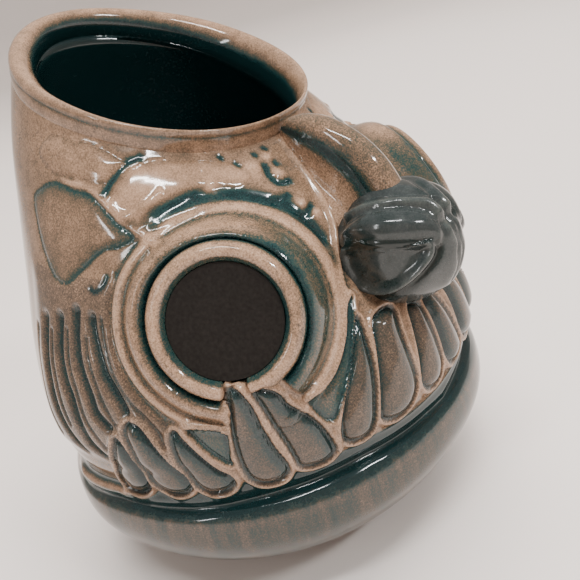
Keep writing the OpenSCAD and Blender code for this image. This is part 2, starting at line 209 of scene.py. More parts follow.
# %% Eye mounds
EYE = np.array([41.7, -38.3, 75.6])
TURN, TIP = math.radians(52.9), math.radians(20.2)
LOOK = np.array([math.sin(TURN) * math.cos(TIP), -math.cos(TURN) * math.cos(TIP), math.sin(TIP)])
EAR = np.array([math.cos(TURN), math.sin(TURN), 0.0])
BROW = np.cross(LOOK, EAR)
MOUND_R = [0, 15.2, 15.7, 16.1, 16.6, 17.3, 18.1, 19.0, 19.8, 20.4, 20.8, 21.1, 21.6, 22.1, 22.7, 23.3,
           24.0, 26, 29, 36]
MOUND_H = [-4.3, -4.3, -3.5, -2.7, -1.95, -1.45, -1.35, -1.9, -3.0, -4.0, -4.5, -4.3, -3.95, -3.95, -4.4,
           -5.6, -8.2, -15, -26, -50]
SLOPE_R = [11.5, 15, 19, 23, 27]
SLOPE_H = [-1.6, -2.2, -4.0, -5.8, -8]


def ease(t):
    t = np.clip(t, 0, 1)
    return t * t * (3 - 2 * t)


def soft_max(a, b, k):
    h = np.clip(0.5 + 0.5 * (a - b) / k, 0, 1)
    return b * (1 - h) + a * h + k * h * (1 - h)


def eye_frame(p):
    q = np.stack([np.abs(p[..., 0]), p[..., 1], p[..., 2]], -1) - EYE
    a, b = q @ EAR, q @ BROW
    return np.hypot(a, b), np.degrees(np.arctan2(b, a)), q @ LOOK


def notch_weight(r, turn):
    outer = ease((turn + 123) / 3) * ease((-75 - turn) / 3)
    inner = ease((turn + 97) / 3) * ease((-75 - turn) / 3) * ease((r - 11.9) / 0.7)
    inner = np.maximum(inner, outer * ease((r - 14.1) / 0.5) * ease((-94 - turn) / 3))
    return np.where(r > 15.4, outer, inner) * ease((25 - r) / 3)


def brow_sink(r, turn):
    """How far the wide ring and the rim lean back into the brow and the nose"""
    lean = ease((np.cos(np.radians(turn - 140)) + 0.35) / 1.1)
    return 9.0 * lean * np.clip((r - 16.2) / 6.5, 0, 1)


def body(angle, height):
    p = skin(angle, height)
    r, turn, h = eye_frame(p)
    near = (r < 36) & (p[..., 1] < 12) & (h > -50)
    w = notch_weight(r, turn)
    target = np.interp(r, MOUND_R, MOUND_H) * (1 - w) + np.interp(r, SLOPE_R, SLOPE_H) * w
    target = target - brow_sink(r, turn)
    push = np.where(near, soft_max(target, h, 1.2) - h, 0)
    side = np.where(p[..., 0] < 0, -1.0, 1.0)
    line = np.stack([side * LOOK[0], LOOK[1] + 0 * r, LOOK[2] + 0 * r], -1)
    return p + push[..., None] * line


print("eye looks", round(math.degrees(TURN)), "degrees to the side,", round(math.degrees(TIP)), "up")

# %% [markdown]
# The face is modelled in low relief. Teeth, panels and fins are outlines in those two
# numbers, angle and height, for one side only, because the other side is its mirror
# image. Here each outline is a list of points joined by a smooth curve. Most of the
# points were worked out by another program, then rounded or moved by hand, and so were
# the gum, gill, ridge and pool lines further down. They are measured data, not a design.
# To learn from, draw each tooth from its root, tip, width and bend in one function.

# %% Outlines of teeth, panels and fins
CELLS = {
    "tooth_1": [(77, 53.5), (75.8, 51), (75, 45.5), (75.5, 40), (78, 36.5), (81, 35.8), (84, 37.5),
                (82.3, 43), (80, 48.5), (78.2, 52.3)],
    "tooth_2": [(73.5, 57), (71.5, 57), (70, 55.5), (68, 51), (66, 46.5), (64.7, 42.5), (65, 39.5),
                (67.5, 37.5), (70.5, 37.5), (73, 40.5), (73.7, 46), (74.2, 51.5), (74.5, 55)],
    "tooth_3": [(63.5, 55), (62, 52.5), (60, 49), (57.5, 45), (55.2, 42.3), (55.3, 40), (57.5, 38),
                (60.3, 37.6), (62.5, 39.5), (63.5, 43.5), (64.2, 48), (64.3, 52)],
    "cheek_panel": [(60.5, 55.5), (57, 54.7), (53.6, 53.3), (53.6, 50.5), (54.2, 47.5), (54, 46),
                    (55.5, 47.3), (57.3, 49.5), (58.8, 52)],
    "tooth_4": [(49.8, 62.5), (48.3, 61.5), (47, 58), (46.4, 53), (45.4, 48), (44, 43.5), (43.7, 41),
                (45.3, 38.8), (48.5, 38.5), (51, 40.5), (52, 44.5), (52, 50), (51.4, 55.5), (50.6, 60)],
    "tooth_5": [(45.2, 60.8), (42.6, 60.3), (41, 58.5), (40.2, 56), (37.9, 52.8), (35.6, 49), (34.2, 44.8),
                (33.9, 42), (35.5, 40.2), (38.5, 40), (41, 41), (41.6, 43), (42.3, 47), (43.6, 52),
                (44.6, 57.5)],
    "snout_panel": [(18, 70.5), (20.5, 68.5), (23.5, 63.5), (27.8, 58.7), (32.5, 56), (35.7, 54.8),
                    (34.6, 51), (32.6, 49), (30, 52), (25.8, 57.5), (21.8, 64)],
    "tooth_6": [(19.3, 66), (20, 60), (21, 54), (23, 47.5), (24.6, 43.2), (26.6, 41.8), (29.5, 42),
                (31.3, 43.5), (31.2, 47), (29.6, 50.5), (26.8, 55), (23.6, 60)],
    "tooth_7": [(9.5, 63.5), (10.6, 58), (11, 52.5), (11, 48), (12, 44.5), (14, 42.3), (17, 41.5),
                (20, 42), (22, 43.5), (21.3, 47), (19.8, 52), (18, 57.5), (15.5, 63.5)],
    "tooth_8": [(1.2, 60), (1, 55), (0.9, 50), (1, 45.5), (2.5, 42.3), (5, 41.3), (7.8, 42), (9.2, 44),
                (8.8, 47), (7.6, 52), (6.2, 57), (4.5, 61)],
    "fin_lower": [(100, 98), (94, 102), (87, 104), (81, 103.5), (76.5, 103.5), (73, 102.5), (70, 100),
                  (67, 97.5), (63.5, 95.2), (68.5, 93), (73.5, 92), (81, 87.5), (88, 84), (96, 88)],
    "fin_upper": [(96, 108), (88, 112), (78.5, 112.5), (72, 113.3), (63.5, 111.3), (61.5, 110.5), (66, 108),
                  (70, 106), (80, 105.5), (90, 105.5)],
    "forehead": [(57, 110.5), (61, 109), (64.5, 106.5), (67.5, 104), (69, 102), (67, 99.5), (61.5, 97),
                 (57, 100.5), (52, 103.5), (44, 105), (36, 105.5), (29, 104.5), (24, 106), (24, 109),
                 (30, 111.5), (40, 112.5), (50, 112)]}
PUFF = {"cheek_panel": 0.3, "snout_panel": 0.3, "fin_lower": 0.6, "fin_upper": 0.5, "forehead": 0.25,
        "tooth_6": 2.2, "tooth_7": 2.2, "tooth_8": 2.0}


def smooth_line(points, closed, parts=4):
    p = np.array(points, float)
    n = len(p)
    spans = n if closed else n - 1
    pick = (lambda k: p[k % n]) if closed else (lambda k: p[min(max(k, 0), n - 1)])
    out = []
    for i in range(spans):
        a, b, c, d = pick(i - 1), pick(i), pick(i + 1), pick(i + 2)
        for f in np.arange(parts) / parts:
            out.append(0.5 * (2 * b + (c - a) * f + (2 * a - 5 * b + 4 * c - d) * f * f
                              + (3 * b - a - 3 * c + d) * f ** 3))
    out.append(out[0] if closed else p[-1])
    return np.array(out)


print(len(CELLS), "outlines on each side")

# %% [markdown]
# The skin is a fine grid over the whole head: closely spaced columns round the face,
# wider ones behind, and rows that are closest where the teeth are. Relief and colour are
# worked out on the half from the middle of the face to the middle of the back.

# %% Grid over the head
fine = 1.0
half_turn = np.concatenate([np.arange(0, 106, 0.4 * fine), np.arange(106, 165, 1.6 * fine),
                            np.arange(165, 179.8, 0.6 * fine), [180]])
rows = np.concatenate([np.arange(2.5, 33, 0.8 * fine), np.arange(33, 64, 0.4 * fine),
                       np.arange(64, 100, 0.5 * fine), np.arange(100, 114.8, 0.55 * fine), [115]])
TH, ZH = np.meshgrid(half_turn, rows)
BASE = body(TH, ZH)
EYE_R, EYE_TURN, EYE_H = eye_frame(BASE)
ON_MOUND = (EYE_R < 25) & (EYE_H > -20) & (BASE[..., 1] < 12)
print("grid of one half:", TH.shape)


# %% [markdown]
# How deep a point of the relief lies depends only on how far it is from the nearest drawn
# line. The distance is measured in space, in millimetres, so a line keeps its width where
# the skin bulges over an eye. Only the grid points close to a line are measured.

# %% Distance to a drawn line
def line_distance(points, closed=False, room=9.0):
    line = smooth_line(points, closed)
    low, high = line.min(0) - room, line.max(0) + room
    close = (TH > low[0]) & (TH < high[0]) & (ZH > low[1]) & (ZH < high[1])
    spots = BASE[close]
    path = body(line[:, 0], line[:, 1])
    best = np.full(len(spots), 99.0)
    for a, b in zip(path[:-1], path[1:]):
        ab = b - a
        t = np.clip((spots - a) @ ab / max(ab @ ab, 1e-9), 0, 1)
        best = np.minimum(best, np.linalg.norm(spots - a - t[:, None] * ab, axis=1))
    if closed:
        x, y = TH[close], ZH[close]
        inside = np.zeros(len(x), bool)
        for (x0, y0), (x1, y1) in zip(line[:-1], line[1:]):
            if y0 != y1:
                inside ^= ((y0 > y) != (y1 > y)) & (x < (x1 - x0) * (y - y0) / (y1 - y0) + x0)
        best = np.where(inside, -best, best)
    out = np.full(TH.shape, 99.0)
    out[close] = best
    return out


DISTANCE = {name: line_distance(points, True) for name, points in CELLS.items()}
print("measured", len(DISTANCE), "outlines")

# %% [markdown]
# Now the relief and the colour of the glaze. Each tooth is a soft pillow that lies in a
# frame of raised ridges. The glaze is one recipe: it runs off high, sharp places and
# breaks pale tan there, and it pools dark teal in hollows. The value called tone records
# this, from -1 for a teal pool to +1 for a bare tan ridge.

# %% Relief and tone of the face
def mix(old, new, weight):
    return old + (new - old) * weight


def bump(d, width):
    return np.exp(-(d / width) ** 2)


GUM = ([0, 5.4, 11.4, 17.6, 24, 29, 34, 39, 44, 50, 55, 62, 69.5, 78, 87, 102, 130, 180],
       [34.5, 35.1, 35.6, 36.4, 37.2, 37.7, 37.2, 36.9, 37.3, 37.6, 37.2, 35.5, 35.2, 34, 35, 33.5, 34, 34])
SHELF = ([0, 8, 18, 27, 34, 45, 53, 59, 67, 77, 86, 110, 180],
         [33.6, 34.2, 34.6, 35.1, 35.0, 34.7, 34.3, 33.8, 33.3, 33.1, 32.6, 31.8, 31.8])
gum = ZH - np.interp(TH, *GUM)
shelf = ZH - np.interp(TH, *SHELF)
face = ease((112 - TH) / 10)
GILL_SPAN = ease((TH - 61) / 4) * ease((108 - TH) / 8) * ease((ZH - 44) / 5) * ease((88 - ZH) / 5)
GILL = GILL_SPAN * ease((EYE_R - 24) / 2)
VALLEYS = [
    [(70, 83.5), (71, 79.5), (71.5, 75.5), (72, 71), (71, 66.5), (68.5, 63), (66, 60), (64, 57),
     (62.5, 55.5)],
    [(79.5, 78), (79.5, 75), (78.5, 70.5), (77.5, 67), (75.5, 63.5), (74, 60.5), (73.5, 58.5)],
    [(84.5, 79), (85.5, 73.5), (85, 67.5), (83, 62), (82, 58.5), (79, 55.5)],
    [(91, 77), (92, 70), (91, 64), (89.5, 60.5), (88.5, 55), (87, 50.5), (83.5, 46.5)],
    [(97.5, 76), (98.5, 68), (97.5, 60), (95, 53), (91, 47)],
    [(103.5, 73), (104.5, 66), (103, 58), (100, 50)]]
CREASES = [
    [(76.5, 78), (76.5, 74), (76, 70), (74.5, 65.5), (72, 61.5), (69.5, 59), (67, 55.5), (66, 52)],
    [(82, 74), (82, 70), (80.5, 64.5), (79, 60.5), (77, 56.5)],
    [(88.5, 75), (88.7, 68), (87, 62), (85.5, 56), (82, 50)],
    [(94.8, 74), (95.2, 67), (94, 60), (92, 54)]]
RIDGES = [
    ([(0.5, 113.3), (2.9, 110.9), (5.6, 102.6), (9.3, 90.6), (10.9, 86), (14.8, 79.3), (17.7, 73),
      (19.6, 67.5), (22.3, 61.5), (25.4, 56.5), (29.8, 51.8), (32.2, 46.6), (33, 42)], 0.9, 0.75),
    ([(71.5, 103.2), (66, 99.5), (61.5, 96.2), (57.5, 93.8)], 1.2, 0.6),
    ([(53, 104.8), (60, 101), (66.5, 98.6)], 0.9, 0.3),
    ([(84, 104.6), (77, 104.6), (72, 103.5), (68, 105), (63, 108.8), (57.5, 111)], 0.8, 0.3)]
POOLS = [
    ([(56, 100.0), (53.5, 101.1), (48.5, 102.7), (43, 104.2), (37, 104.2), (29, 102.2), (22, 98.7),
      (18.6, 95.6), (16.8, 91), (15.6, 86.5)], 1.5, 1.3),
    ([(22, 98.7), (17.3, 99.2)], 1.0, 1.0), ([(17.5, 93), (15, 93.5), (13, 94.6)], 0.9, 1.1),
    ([(16.8, 91), (15.9, 87.5), (15.8, 84.2)], 0.9, 1.2),
    ([(17, 108), (18, 105.5), (17, 103), (13.4, 102.4)], 0.9, 1.2),
    ([(56.5, 112.2), (61.5, 110.3), (65.5, 107.6), (69.5, 104.2)], 1.0, 1.0),
    ([(78.5, 84), (77, 83.5), (74.5, 85), (73.5, 86.5)], 0.7, 1.0), ([(70, 87), (70.3, 87.2)], 0.8, 1.0),
    ([(30, 112.9), (29.4, 112.2)], 0.6, 1.0), ([(26, 110.3), (25.4, 109.4)], 0.7, 0.9),
         ([(17.5, 111.5), (17, 111)], 0.7, 1.0),
    ([(12, 112.5), (11.4, 112.0)], 0.7, 1.0), ([(12.5, 107.5), (12.6, 108.2)], 0.8, 1.0),
         ([(39, 109.5), (38.6, 108.8)], 0.5, 0.7)]
WARTS = [(38, 106, 1.7), (21.5, 108.5, 1.8), (13.7, 109.8, 1.3), (14.8, 105.2, 1.2), (15, 96, 1.0),
         (12.6, 92.5, 0.9)]

rise = np.zeros(TH.shape)
tone = np.full(TH.shape, 0.34)
tone = mix(tone, 0.15, ease((62 - ZH) / 14) * (TH > 60))
rise = rise + 0.75 * GILL
tone = mix(tone, 0.34, GILL)
for line in VALLEYS:
    d = line_distance(line)
    rise = rise - 1.35 * bump(d, 1.05) * GILL
    tone = mix(tone, -1.0, bump(d, 1.05) * np.clip(GILL * 1.5, 0, 1))
for line in CREASES:
    d = line_distance(line)
    rise = rise - 0.5 * bump(d, 0.45) * GILL
    tone = mix(tone, -0.55, 0.85 * bump(d, 0.5) * GILL)
print("gills: ", len(VALLEYS), "grooves and", len(CREASES), "creases on each side")

# %% [markdown]
# The eye's rings get their tone from the distance to the eye's middle, as the rings were
# shaped by it; the wide ring's nose side, which slopes away, is darkened as painted shade.
# The ridge that joins the lure, the eyes and the teeth, and the dark runs of glaze round it,
# are drawn lines like the gills.

# %% Tone round the eyes, ridges and pools
RING_TONE = ([0, 15.7, 16.1, 16.6, 17.2, 18.0, 19.4, 20.4, 20.8, 21.1, 21.6, 22.3, 23.1, 23.6, 24.3, 25.5],
             [-1, -1.0, -0.9, -0.45, 0.1, 0.55, 0.45, 0.0, -0.35, 0.25, 0.8, 0.8, 0.5, -0.2, -0.5, 0.1])
ring_tone = np.interp(EYE_R, *RING_TONE)
# painted shade: the wide ring is darker on its nose side, where it slopes steeply away from the light
nose_side_shade = ease((np.cos(np.radians(EYE_TURN - 185)) - 0.25) / 0.5)
ring_tone = ring_tone - 0.75 * nose_side_shade * ease((EYE_R - 16) / 1) * ease((20.4 - EYE_R) / 0.8)
cut = notch_weight(EYE_R, EYE_TURN)
on_rings = ON_MOUND * ease((25.5 - EYE_R) / 2.0)
tone = mix(tone, ring_tone, on_rings * (1 - cut))
tone = mix(tone, 0.5, on_rings * cut)
for line, width, amount in RIDGES:
    d = line_distance(line)
    rise = rise + amount * bump(d, width)
    tone = mix(tone, 0.85, 0.9 * bump(d, width * 1.1))
for line, width, amount in POOLS:
    d = line_distance(line)
    outside_rim = ease((EYE_R - 23.1) / 0.6)
    tone = mix(tone, -1.0, np.clip(amount * bump(d, width) * outside_rim, 0, 1))
    rise = rise - 0.25 * amount * bump(d, width) * outside_rim
for wart_angle, wart_height, wart_r in WARTS:
    d = line_distance([(wart_angle, wart_height), (wart_angle + 0.2, wart_height)])
    rise = rise + 0.4 * bump(d, wart_r)
    tone = mix(tone, 1.0, bump(d, wart_r * 1.1))
smudge = line_distance([(62, 98.5), (57.5, 98.2)])
tone = mix(tone, -0.35, 0.8 * bump(smudge, 1.7))
print("tone so far from", round(float(tone.min()), 2), "to", round(float(tone.max()), 2))

# %% [markdown]
# Last come the mouth and the teeth: a groove between the jaw and the lip, a scalloped
# ridge of gum, and one ridge round every tooth. Inside an outline the surface swells
# like a pillow, and the glaze pools against the frame, more so on the side to the nose.

# %% Mouth, gums and teeth
low_cells = [n for n in CELLS if n not in ("fin_lower", "fin_upper", "forehead")]
near_low = np.minimum.reduce([DISTANCE[n] for n in low_cells])
toothless = ease((TH - 82) / 3)
rise = rise - 1.3 * bump(shelf, 1.0) * face
rise = rise + (0.25 + 1.0 * toothless) * bump(gum, 1.25) * face
below = ease((near_low - 1.25) / 0.7) * ease((np.interp(TH, *GUM) + 3.2 - ZH) / 1.0) * face
tone = mix(tone, -1.0, below * ease((ZH - 29.5) / 3.5))
tone = mix(tone, 0.75, toothless * bump(gum - 0.4, 1.0) * face)
tone = mix(tone, -0.02, ease((31.2 - ZH) / 2.5))
frame_ridge = (1 - bump(near_low, 0.45)) * bump(np.maximum(near_low - 0.95, 0), 0.75) * (near_low > 0)
rise = rise + 0.95 * frame_ridge
tone = mix(tone, 0.66, frame_ridge)
tone = mix(tone, -0.95, bump(near_low, 0.32) * (near_low > 0))
for name, d in DISTANCE.items():
    inside = d < 0
    puff = PUFF.get(name, 1.5)
    tooth = name.startswith("tooth")
    groove = 0.38 if tooth else 0.22
    swell = -groove * np.exp(-np.abs(d) / 0.35) + np.where(inside, puff * (1 - np.exp(d / 1.6)), 0)
    rise = rise + np.where(np.abs(d) < 50, swell, 0)
    toward_nose = np.roll(d, max(1, int(round(3.2 / fine))), axis=1)
    pool = np.exp(np.minimum(d, 0) / 0.42)
    if tooth:
        pool = np.maximum(pool, 0.85 * np.exp(np.minimum(toward_nose, 0) / 0.8) * (toward_nose < 50))
        tone = np.where(inside, 0.10 - 1.1 * pool, tone)
    elif name in ("cheek_panel", "snout_panel"):
        tone = np.where(inside, -0.12 - 0.85 * np.exp(np.minimum(d, 0) / 0.8), tone)
    elif name == "forehead":
        tone = np.where(inside, mix(tone, 0.62, ease(-d / 2.5)), tone)
    else:
        pool_width, pool_strength, middle = (0.5, 0.5, 0.42) if name == "fin_upper" else (1.2, 1.0, 0.22)
        wide_pool = np.exp(np.minimum(d, 0) / pool_width) * pool_strength
        tone = np.where(inside, middle - 1.05 * wide_pool, tone)
near_fin = DISTANCE["fin_lower"]
tone = mix(tone, -0.8, 0.9 * bump(near_fin, 0.4) * (near_fin > 0))
DORSAL_FOOT, DORSAL_LENGTH, DORSAL_RAYS = 58, 52, 7
dorsal_along = np.clip((ZH - DORSAL_FOOT) / DORSAL_LENGTH, 0, 1)
rays = 1 + 0.22 * np.cos(2 * math.pi * DORSAL_RAYS * dorsal_along)
dorsal_rise = np.sin(math.pi * dorsal_along) ** 0.6 * rays
dorsal_across = (180 - TH) * 0.8
rise = rise + 2.7 * dorsal_rise * bump(dorsal_across, 2.3)
tone = mix(tone, 0.75, np.clip(dorsal_rise, 0, 1) * bump(dorsal_across, 1.3))
tone = mix(tone, -0.9, np.clip(dorsal_rise * 1.5, 0, 1) * bump(dorsal_across - 4.2, 1.3))
print("relief from", round(float(rise.min()), 2), "to", round(float(rise.max()), 2), "mm")

# %% [markdown]
# The relief is raised with Geometry Nodes: a small tree moves every point of the plain
# head along its normal by the stored rise. The depth is a named input, so the whole
# relief can be made shallower or deeper with one number. The result is turned into a
# plain mesh, because the pieces are cut from it next.

# %% Raise the relief
def mirrored(half):
    return np.concatenate([half[:, -2:0:-1], half], axis=1)


def both_sides(points):
    other = points * np.array([-1.0, 1, 1])
    return np.concatenate([other[:, -2:0:-1], points], axis=1)


BODY = both_sides(BASE)
ANGLE = np.concatenate([-half_turn[-2:0:-1], half_turn])
RISE, TONE = mirrored(rise), mirrored(tone)
NR, NC = RISE.shape
cell_rows, cell_cols = np.meshgrid(np.arange(NR - 1), np.arange(NC), indexing="ij")
next_cols = (cell_cols + 1) % NC
QUADS = np.stack([cell_rows * NC + cell_cols, cell_rows * NC + next_cols,
                  (cell_rows + 1) * NC + next_cols, (cell_rows + 1) * NC + cell_cols], -1)


def add_attribute(mesh, name, values):
    mesh.attributes.new(name, "FLOAT", "POINT").data.foreach_set("value",
                                                                 np.asarray(values, np.float32).ravel())


def mesh_object(name, points, faces, **values):
    mesh = bpy.data.meshes.new(name)
    mesh.from_pydata((np.asarray(points).reshape(-1, 3) * MM).tolist(), [],
                     [list(map(int, f)) for f in faces])
    for key, value in values.items():
        add_attribute(mesh, key, value)
    mesh.shade_smooth()
    made = bpy.data.objects.new(name, mesh)
    SCENE.collection.objects.link(made)
    return made


def run_tree(obj, tree, inputs):
    """Run a geometry tree on an object and keep the result as its plain mesh"""
    modifier = obj.modifiers.new("nodes", "NODES")
    modifier.node_group = tree
    for item in tree.interface.items_tree:
        if item.item_type == "SOCKET" and item.in_out == "INPUT" and item.name in inputs:
            modifier[item.identifier] = inputs[item.name]
    bpy.context.view_layer.update()
    done = bpy.data.meshes.new_from_object(obj.evaluated_get(bpy.context.evaluated_depsgraph_get()))
    obj.modifiers.remove(modifier)
    obj.data = done
    return obj


def new_tree(name, sizes):
    tree = bpy.data.node_groups.new(name, "GeometryNodeTree")
    tree.interface.new_socket("Geometry", in_out="INPUT", socket_type="NodeSocketGeometry")
    for label, value in sizes.items():
        tree.interface.new_socket(label, in_out="INPUT",
                                  socket_type="NodeSocketFloat").default_value = value
    tree.interface.new_socket("Geometry", in_out="OUTPUT", socket_type="NodeSocketGeometry")
    return tree, tree.nodes.new("NodeGroupInput"), tree.nodes.new("NodeGroupOutput")


glaze_stub = bpy.data.materials.new("glaze_stub")
tree, start, end = new_tree("raise_relief", {"Depth": 1.0})
stored = tree.nodes.new("GeometryNodeInputNamedAttribute")
stored.inputs["Name"].default_value = "rise"
normal = tree.nodes.new("GeometryNodeInputNormal")
deeper = tree.nodes.new("ShaderNodeMath")
deeper.operation = "MULTIPLY"
along = tree.nodes.new("ShaderNodeVectorMath")
along.operation = "SCALE"
shift = tree.nodes.new("GeometryNodeSetPosition")
real = tree.nodes.new("GeometryNodeRealizeInstances")
paint = tree.nodes.new("GeometryNodeSetMaterial")
paint.inputs["Material"].default_value = glaze_stub
tree.links.new(stored.outputs["Attribute"], deeper.inputs[0])
tree.links.new(start.outputs["Depth"], deeper.inputs[1])
tree.links.new(normal.outputs[0], along.inputs[0])
tree.links.new(deeper.outputs[0], along.inputs["Scale"])
tree.links.new(start.outputs["Geometry"], shift.inputs["Geometry"])
tree.links.new(along.outputs[0], shift.inputs["Offset"])
tree.links.new(shift.outputs[0], real.inputs[0])
tree.links.new(real.outputs[0], paint.inputs["Geometry"])
tree.links.new(paint.outputs[0], end.inputs[0])
head = mesh_object("head_skin", BODY, QUADS.reshape(-1, 4), rise=RISE * MM)
run_tree(head, tree, {"Depth": 1.0})
flat_co = np.empty(NR * NC * 3, np.float32)
head.data.vertices.foreach_get("co", flat_co)
SHAPE = flat_co.reshape(NR, NC, 3).astype(float) / MM
bpy.data.objects.remove(head)


def grid_normals(p):
    across = np.roll(p, -1, 1) - np.roll(p, 1, 1)
    upward = np.gradient(p, axis=0)
    n = np.cross(across, upward)
    return n / np.maximum(np.linalg.norm(n, axis=-1, keepdims=True), 1e-9)


NORMAL = grid_normals(SHAPE)
print("raised relief on", NR * NC, "points")

# %% [markdown]
# The glazed head is one skin to the eye, but it is made of luted pieces of clay. Each
# square of the grid is given to the piece it lies on, and each piece becomes a closed
# solid: the squares on top, the same squares sunk into the wall below, and a wall round
# them. The shading normals come from the whole head, so that no seam shows in the glaze.

# %% Give the grid's squares to the pieces
def at_squares(values):
    v = values[:-1] + values[1:]
    return (v + np.roll(v, -1, 1)) / 4


NAMES = ["cup_wall", "lower_jaw", "upper_lip", "eye_mound", "eye_roll", "eye_rim", "gill_cover",
         "dorsal_fin"]
NAMES += list(CELLS)
full = {name: at_squares(mirrored(d)) for name, d in DISTANCE.items()}
sq_r, sq_gum, sq_shelf = at_squares(mirrored(EYE_R)), at_squares(mirrored(gum)), at_squares(mirrored(shelf))
sq_mound, sq_cut = at_squares(mirrored(ON_MOUND * 1.0)) > 0.5, at_squares(mirrored(cut)) > 0.5
sq_gill = at_squares(mirrored(GILL))
sq_th, sq_z = at_squares(mirrored(TH)), at_squares(mirrored(ZH))
region = np.zeros((NR - 1, NC), int)
region[(sq_gill > 0.4)] = NAMES.index("gill_cover")
region[sq_mound & (sq_r < 25)] = NAMES.index("eye_mound")
region[sq_mound & ~sq_cut & (sq_r > 15.8) & (sq_r <= 20.4)] = NAMES.index("eye_roll")
region[sq_mound & ~sq_cut & (sq_r > 20.4) & (sq_r < 22.9)] = NAMES.index("eye_rim")
region[(sq_gum < 1.6) & (sq_shelf >= -0.4)] = NAMES.index("upper_lip")
region[(sq_shelf < -0.4) & (sq_z > 6)] = NAMES.index("lower_jaw")
region[(sq_th > 174.5) & (sq_z > 55) & (sq_z < 112)] = NAMES.index("dorsal_fin")
best = np.full(region.shape, 0.6)
for name, d in full.items():
    region = np.where(d < best, NAMES.index(name), region)
    best = np.minimum(best, d)
left_half = np.roll(ANGLE, -1) + ANGLE < 0
left_half[NC - 1] = True
print("squares per piece:", {n: int((region == k).sum()) for k, n in enumerate(NAMES)})

# %% [markdown]
# A piece of skin has to be a closed solid, as a sheet of clay is. The squares are kept
# on top, copied a little way down into the wall, and joined by a narrow wall round the
# edge. The whole head's normals are kept on top, so light runs on from piece to piece.

# %% Turn squares into closed solids
PATCH_DEPTH = 0.8


def closed_patch(name, points, normals, quads, depth, tones, extra=None):
    used, index = np.unique(quads, return_inverse=True)
    index = index.reshape(-1, 4)
    n = len(used)
    top, out = points.reshape(-1, 3)[used], normals.reshape(-1, 3)[used]
    low = top - out * depth
    starts = index.ravel()
    ends = np.roll(index, -1, 1).ravel()
    edge = ~np.isin(starts * n + ends, ends * n + starts)
    a, b = starts[edge], ends[edge]
    walls = np.stack([b, a, a + n, b + n], -1)
    faces = np.concatenate([index, index[:, ::-1] + n, walls])
    all_points = np.concatenate([top, low])
    d1 = all_points[walls[:, 2]] - all_points[walls[:, 0]]
    d2 = all_points[walls[:, 3]] - all_points[walls[:, 1]]
    wn = np.cross(d1, d2)
    wn /= np.maximum(np.linalg.norm(wn, axis=1, keepdims=True), 1e-9)
    loop_normals = np.concatenate([out[index.ravel()], -out[index[:, ::-1].ravel()], np.repeat(wn, 4, 0)])
    t = tones.ravel()[used]
    tone_all = np.concatenate([t, t])
    if extra is not None:
        more_points, more_faces, more_tones = extra
        faces = np.concatenate([faces, more_faces + len(all_points)])
        all_points = np.concatenate([all_points, more_points])
        corner = more_points[more_faces]
        fn = np.cross(corner[:, 2] - corner[:, 0], corner[:, 3] - corner[:, 1])
        vn = np.zeros(more_points.shape)
        for k in range(4):
            np.add.at(vn, more_faces[:, k], fn)
        vn /= np.maximum(np.linalg.norm(vn, axis=1, keepdims=True), 1e-9)
        loop_normals = np.concatenate([loop_normals, vn[more_faces.ravel()]])
        tone_all = np.concatenate([tone_all, more_tones])
    made = mesh_object(name, all_points, faces, tone=tone_all)
    made.data.normals_split_custom_set(loop_normals.tolist())
    return made


MADE = {}
for k, name in enumerate(NAMES):
    if name == "cup_wall":
        continue
    sides = [("", np.ones(region.shape, bool))]
    if name not in ("lower_jaw", "upper_lip", "dorsal_fin"):
        sides = [("_left", left_half[None, :]), ("_right", ~left_half[None, :])]
    for suffix, where in sides:
        squares = QUADS[(region == k) & where]
        MADE[name + suffix] = closed_patch("glazed_" + name + suffix, SHAPE, NORMAL, squares, PATCH_DEPTH,
                                           TONE)
print(len(MADE), "pieces cut from the skin")

# %% [markdown]
# The cup is a hollow shell. Its outside is what is left of the skin, and inside it is a
# smooth well, as slip casting leaves it: thicker where the jaw is rolled on, with a
# rounded floor. The inner shell is a lathe-like grid closed at the floor, the foot and
# the mouth. The teal glaze lines it, its tone set below the deepest pools so the well is
# near black: partly the glaze's own colour, partly painted shade.

# %% Cup wall and its inside
def ring_points(values, count=120):
    turn_at = np.arange(count) * 360.0 / count
    out = []
    for height, depth in values:
        p = skin(turn_at, np.full(count, float(height)))
        d_across = skin(turn_at + 0.5, height) - skin(turn_at - 0.5, height)
        d_up = skin(turn_at, min(height + 0.5, 115)) - skin(turn_at, max(height - 0.5, 2.5))
        n = np.cross(d_across, d_up)
        n /= np.linalg.norm(n, axis=-1, keepdims=True)
        out.append(p - n * depth)
    return np.array(out)


def loft_faces(count_rows, count_cols, closed_rows=False):
    r = np.arange(count_rows if closed_rows else count_rows - 1)[:, None]
    c = np.arange(count_cols)[None, :]
    r2, c2 = (r + 1) % count_rows, (c + 1) % count_cols
    low, high = r * count_cols, r2 * count_cols
    return np.stack([low + c, low + c2, high + c2, high + c], -1).reshape(-1, 4)


levels = [115, 112, 108, 104, 98, 92, 85, 78, 72, 66, 60, 54, 49, 43, 39, 36, 33, 30.5, 27, 23, 19, 15]
outer = ring_points([(z, 0.9 + 5.6 * ease((40 - z) / 6)) for z in levels + [11, 8, 5, 2.6]])
inner = ring_points([(z, 5.5 + 6.0 * ease((46 - z) / 8)) for z in levels])
centre = np.array([0, 0, 8.5])
floor_rings = [centre + (inner[-1] - centre) * np.array([s, s, k]) for s,
               k in ((0.86, 0.45), (0.62, 0.16), (0.35, 0.03), (0.1, 0.0), (0.004, 0.0))]
foot_middle = np.array([0, 0, 2.6])
under = [foot_middle + (outer[-1] - foot_middle) * np.array([s, s, 0]) for s in (0.6, 0.2, 0.004)]
shell = np.array(list(np.array(under)[::-1]) + list(outer[::-1]) + list(inner) + floor_rings)
shell_faces = loft_faces(len(shell), 120)
caps = []
for base, flip in ((0, True), ((len(shell) - 1) * 120, False)):
    for i in range(0, 118, 2):
        quad = [base, base + i + 1, base + i + 2, base + (i + 3) % 120]
        caps.append(quad if not flip else quad[::-1])
shell_faces = np.concatenate([shell_faces, np.array(caps)])
